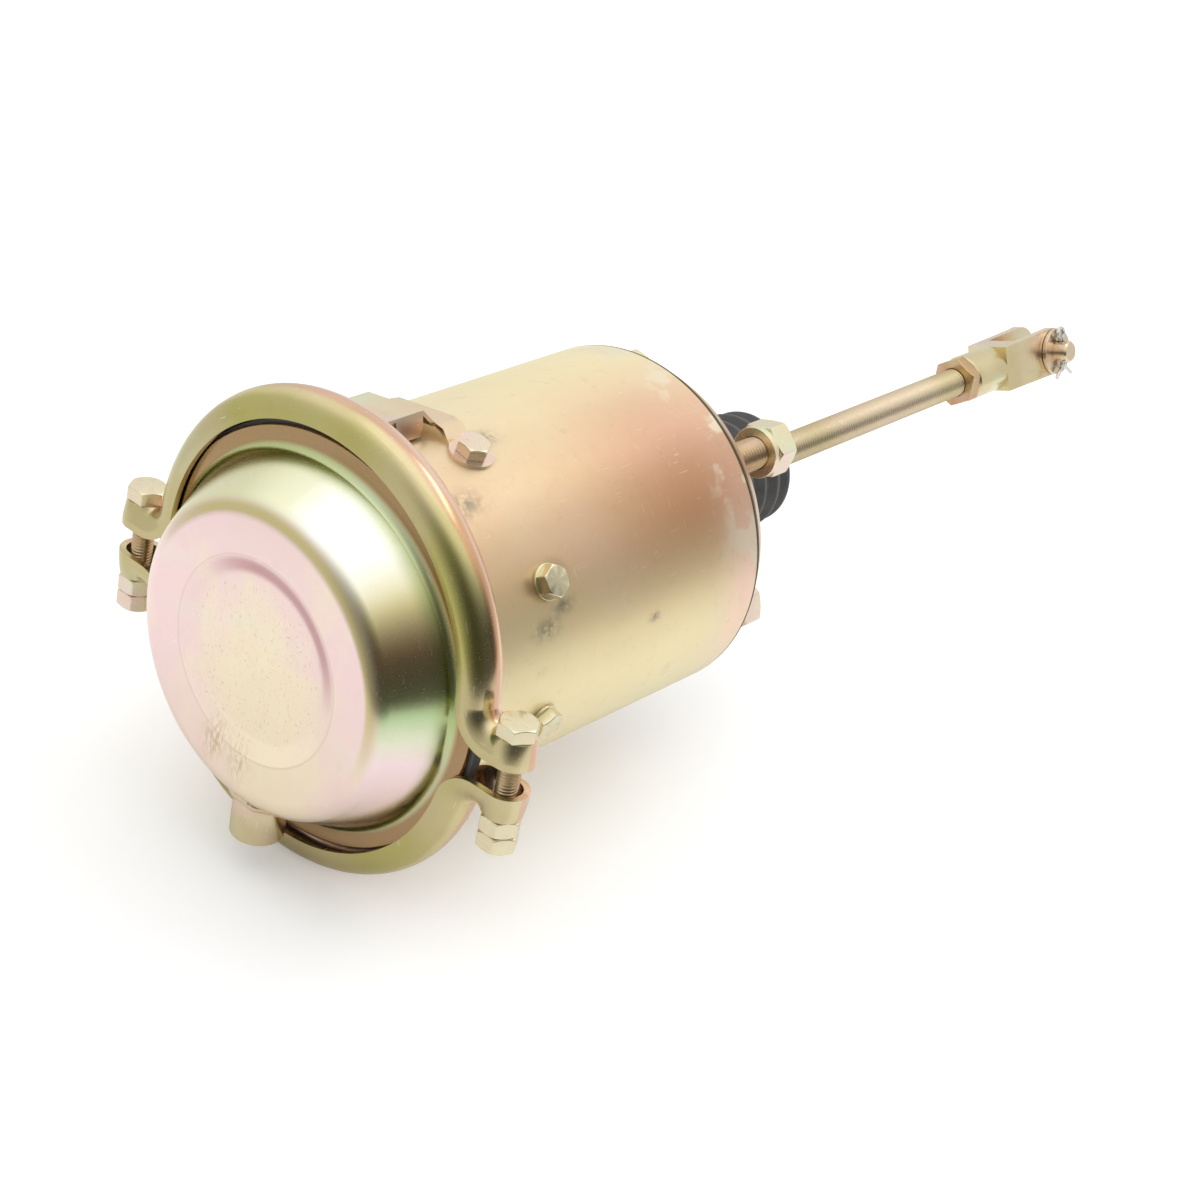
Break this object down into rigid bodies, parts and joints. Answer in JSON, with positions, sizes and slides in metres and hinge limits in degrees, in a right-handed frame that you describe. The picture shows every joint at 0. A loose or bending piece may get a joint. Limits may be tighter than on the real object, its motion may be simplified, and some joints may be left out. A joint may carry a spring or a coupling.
{
  "type": "air brake chamber",
  "caption": "Clamped diaphragm air brake chamber in a long zinc-plated housing, with a booted push rod ending in a forked clevis and pin.",
  "frame": {"origin": "centre of the flat rear mounting face, on the push rod's axis", "axes": "+X along the push rod towards the clevis, +Z along the clamp bolts, towards their heads"},
  "size_m": [0.6207, 0.2436, 0.2177],
  "materials": {
    "zinc_housing": "yellow chromate zinc, satin",
    "zinc_cover": "yellow chromate zinc, pinkish and bright",
    "zinc_clamp": "yellow chromate zinc, bright",
    "zinc_fasteners": "yellow chromate zinc, bright",
    "zinc_hood": "yellow chromate zinc, pinkish",
    "zinc_rod": "yellow chromate zinc, dull",
    "zinc_clevis": "yellow chromate zinc, satin",
    "steel_pin": "plain zinc, bright",
    "steel_inner": "phosphated",
    "rubber": "matte",
    "bush_plastic": "matte"
  },
  "bodies": {
    "chamber": {"front_cover": "zinc_cover", "air_port": "zinc_cover", "diaphragm": "rubber", "clamp_half_upper": "zinc_clamp", "clamp_half_lower": "zinc_clamp", "clamp_bolts": "zinc_fasteners", "clamp_nuts": "zinc_fasteners", "clamp_lock_nuts": "zinc_fasteners", "housing": "zinc_housing", "spring_carrier": "steel_inner", "carrier_nuts": "steel_inner", "radial_screws": "zinc_fasteners", "radial_washers": "zinc_fasteners", "vent_hood": "zinc_hood", "stud_plate": "steel_inner", "mounting_studs": "zinc_fasteners", "mounting_nuts": "zinc_fasteners", "mounting_washers": "zinc_fasteners", "rod_spigot": "steel_inner", "rod_bush": "bush_plastic", "boot": "rubber", "boot_clip": "steel_pin", "return_spring": "steel_inner"},
    "rod": {"push_plate": "steel_inner", "rod_plate_nut": "steel_inner", "push_rod": "zinc_rod", "jam_nut": "zinc_rod", "clevis": "zinc_clevis"},
    "pin": {"clevis_pin": "steel_pin", "pin_washer": "steel_pin", "cotter_pin": "steel_pin"}
  },
  "joints": [
    {"name": "rod_stroke", "type": "slide", "parent": "chamber", "child": "rod", "axis": [1, 0, 0], "range_m": [0, 0.057], "stiffness_N_per_m": 900, "springref_m": -0.05, "deforming": ["diaphragm", "return_spring", "boot"]},
    {"name": "pin_turn", "type": "hinge", "parent": "rod", "child": "pin", "pos_m": [0.3595, 0, 0], "axis": [0, 0.9272, -0.3746], "continuous": true}
  ]
}
